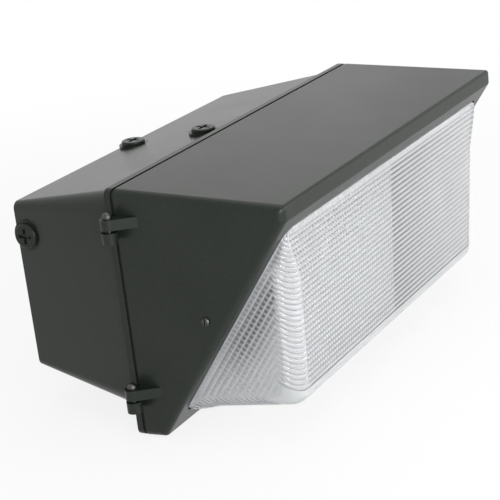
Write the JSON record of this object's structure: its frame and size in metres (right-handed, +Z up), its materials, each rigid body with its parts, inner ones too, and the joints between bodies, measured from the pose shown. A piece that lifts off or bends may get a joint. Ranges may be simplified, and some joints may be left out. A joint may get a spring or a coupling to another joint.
{
  "type": "wall pack light",
  "caption": "Wide die-cast outdoor wall light with a hinged, slanted door and a wedge-shaped prismatic glass.",
  "frame": {"origin": "centre of the housing's rear face, on the wall", "axes": "+X to the right of a person facing the light, +Y into the wall, +Z up; the light stands out along -Y"},
  "size_m": [0.49, 0.303, 0.232],
  "materials": {
    "cast_finish": "fine-textured dark bronze powder coat",
    "pressed_glass": "clear pressed prismatic glass",
    "clear_glass": "clear blown glass",
    "seal_rubber": "matt black rubber",
    "zinc_steel": "zinc-plated steel",
    "bright_pin": "bright plated steel",
    "bright_reflector": "bright anodised aluminium",
    "nickel_base": "nickel-plated brass",
    "white_porcelain": "glazed white porcelain",
    "laminated_steel": "varnished steel laminations",
    "copper_coil": "varnished copper winding in tape",
    "can_metal": "drawn aluminium can",
    "black_plastic": "potted black plastic",
    "green_steel": "green-dyed steel",
    "lead_black": "black silicone sleeving",
    "lead_white": "white silicone sleeving",
    "lead_brown": "brown silicone sleeving"
  },
  "bodies": {
    "housing": {"back_housing": "cast_finish", "reflector": "bright_reflector", "reflector_screws": "zinc_steel", "lamp_envelope": "clear_glass", "lamp_base": "nickel_base", "arc_tube": "clear_glass", "arc_tube_frame": "zinc_steel", "lamp_socket": "white_porcelain", "socket_shell": "nickel_base", "socket_contact": "nickel_base", "socket_bracket": "zinc_steel", "socket_screws": "zinc_steel", "bracket_screws": "zinc_steel", "lead_bushing": "seal_rubber", "ballast_core": "laminated_steel", "ballast_coils": "copper_coil", "ballast_bracket": "zinc_steel", "ballast_screws": "zinc_steel", "capacitor": "can_metal", "capacitor_clamp": "zinc_steel", "clamp_screw": "zinc_steel", "igniter": "black_plastic", "igniter_screw": "zinc_steel", "ground_screw": "green_steel", "hinge_pin_upper": "bright_pin", "hinge_pin_lower": "bright_pin", "conduit_plug_top_rear": "cast_finish", "conduit_plug_top_front": "cast_finish", "conduit_plug_left": "cast_finish", "conduit_plug_right": "cast_finish", "socket_lead_black": "lead_black", "socket_lead_white": "lead_white", "capacitor_lead_near": "lead_brown", "capacitor_lead_far": "lead_brown"},
    "door": {"door_frame": "cast_finish", "refractor": "pressed_glass", "refractor_gasket": "seal_rubber", "refractor_clips": "zinc_steel", "refractor_clip_screws": "zinc_steel", "door_gasket": "seal_rubber", "door_side_screw_left": "zinc_steel", "door_side_screw_right": "zinc_steel"},
    "upper_screw": {"captive_screw_upper": "bright_pin", "screw_retainer_upper": "zinc_steel"},
    "lower_screw": {"captive_screw_lower": "bright_pin", "screw_retainer_lower": "zinc_steel"}
  },
  "joints": [
    {"name": "door_hinge", "type": "hinge", "parent": "housing", "child": "door", "pos_m": [-0.238, -0.137, 0], "axis": [0, 0, -1], "range_deg": [0, 130]},
    {"name": "upper_screw_travel", "type": "slide", "parent": "door", "child": "upper_screw", "axis": [0, -1, 0], "range_m": [0, 0.009]},
    {"name": "lower_screw_travel", "type": "slide", "parent": "door", "child": "lower_screw", "axis": [0, -1, 0], "range_m": [0, 0.009]}
  ]
}
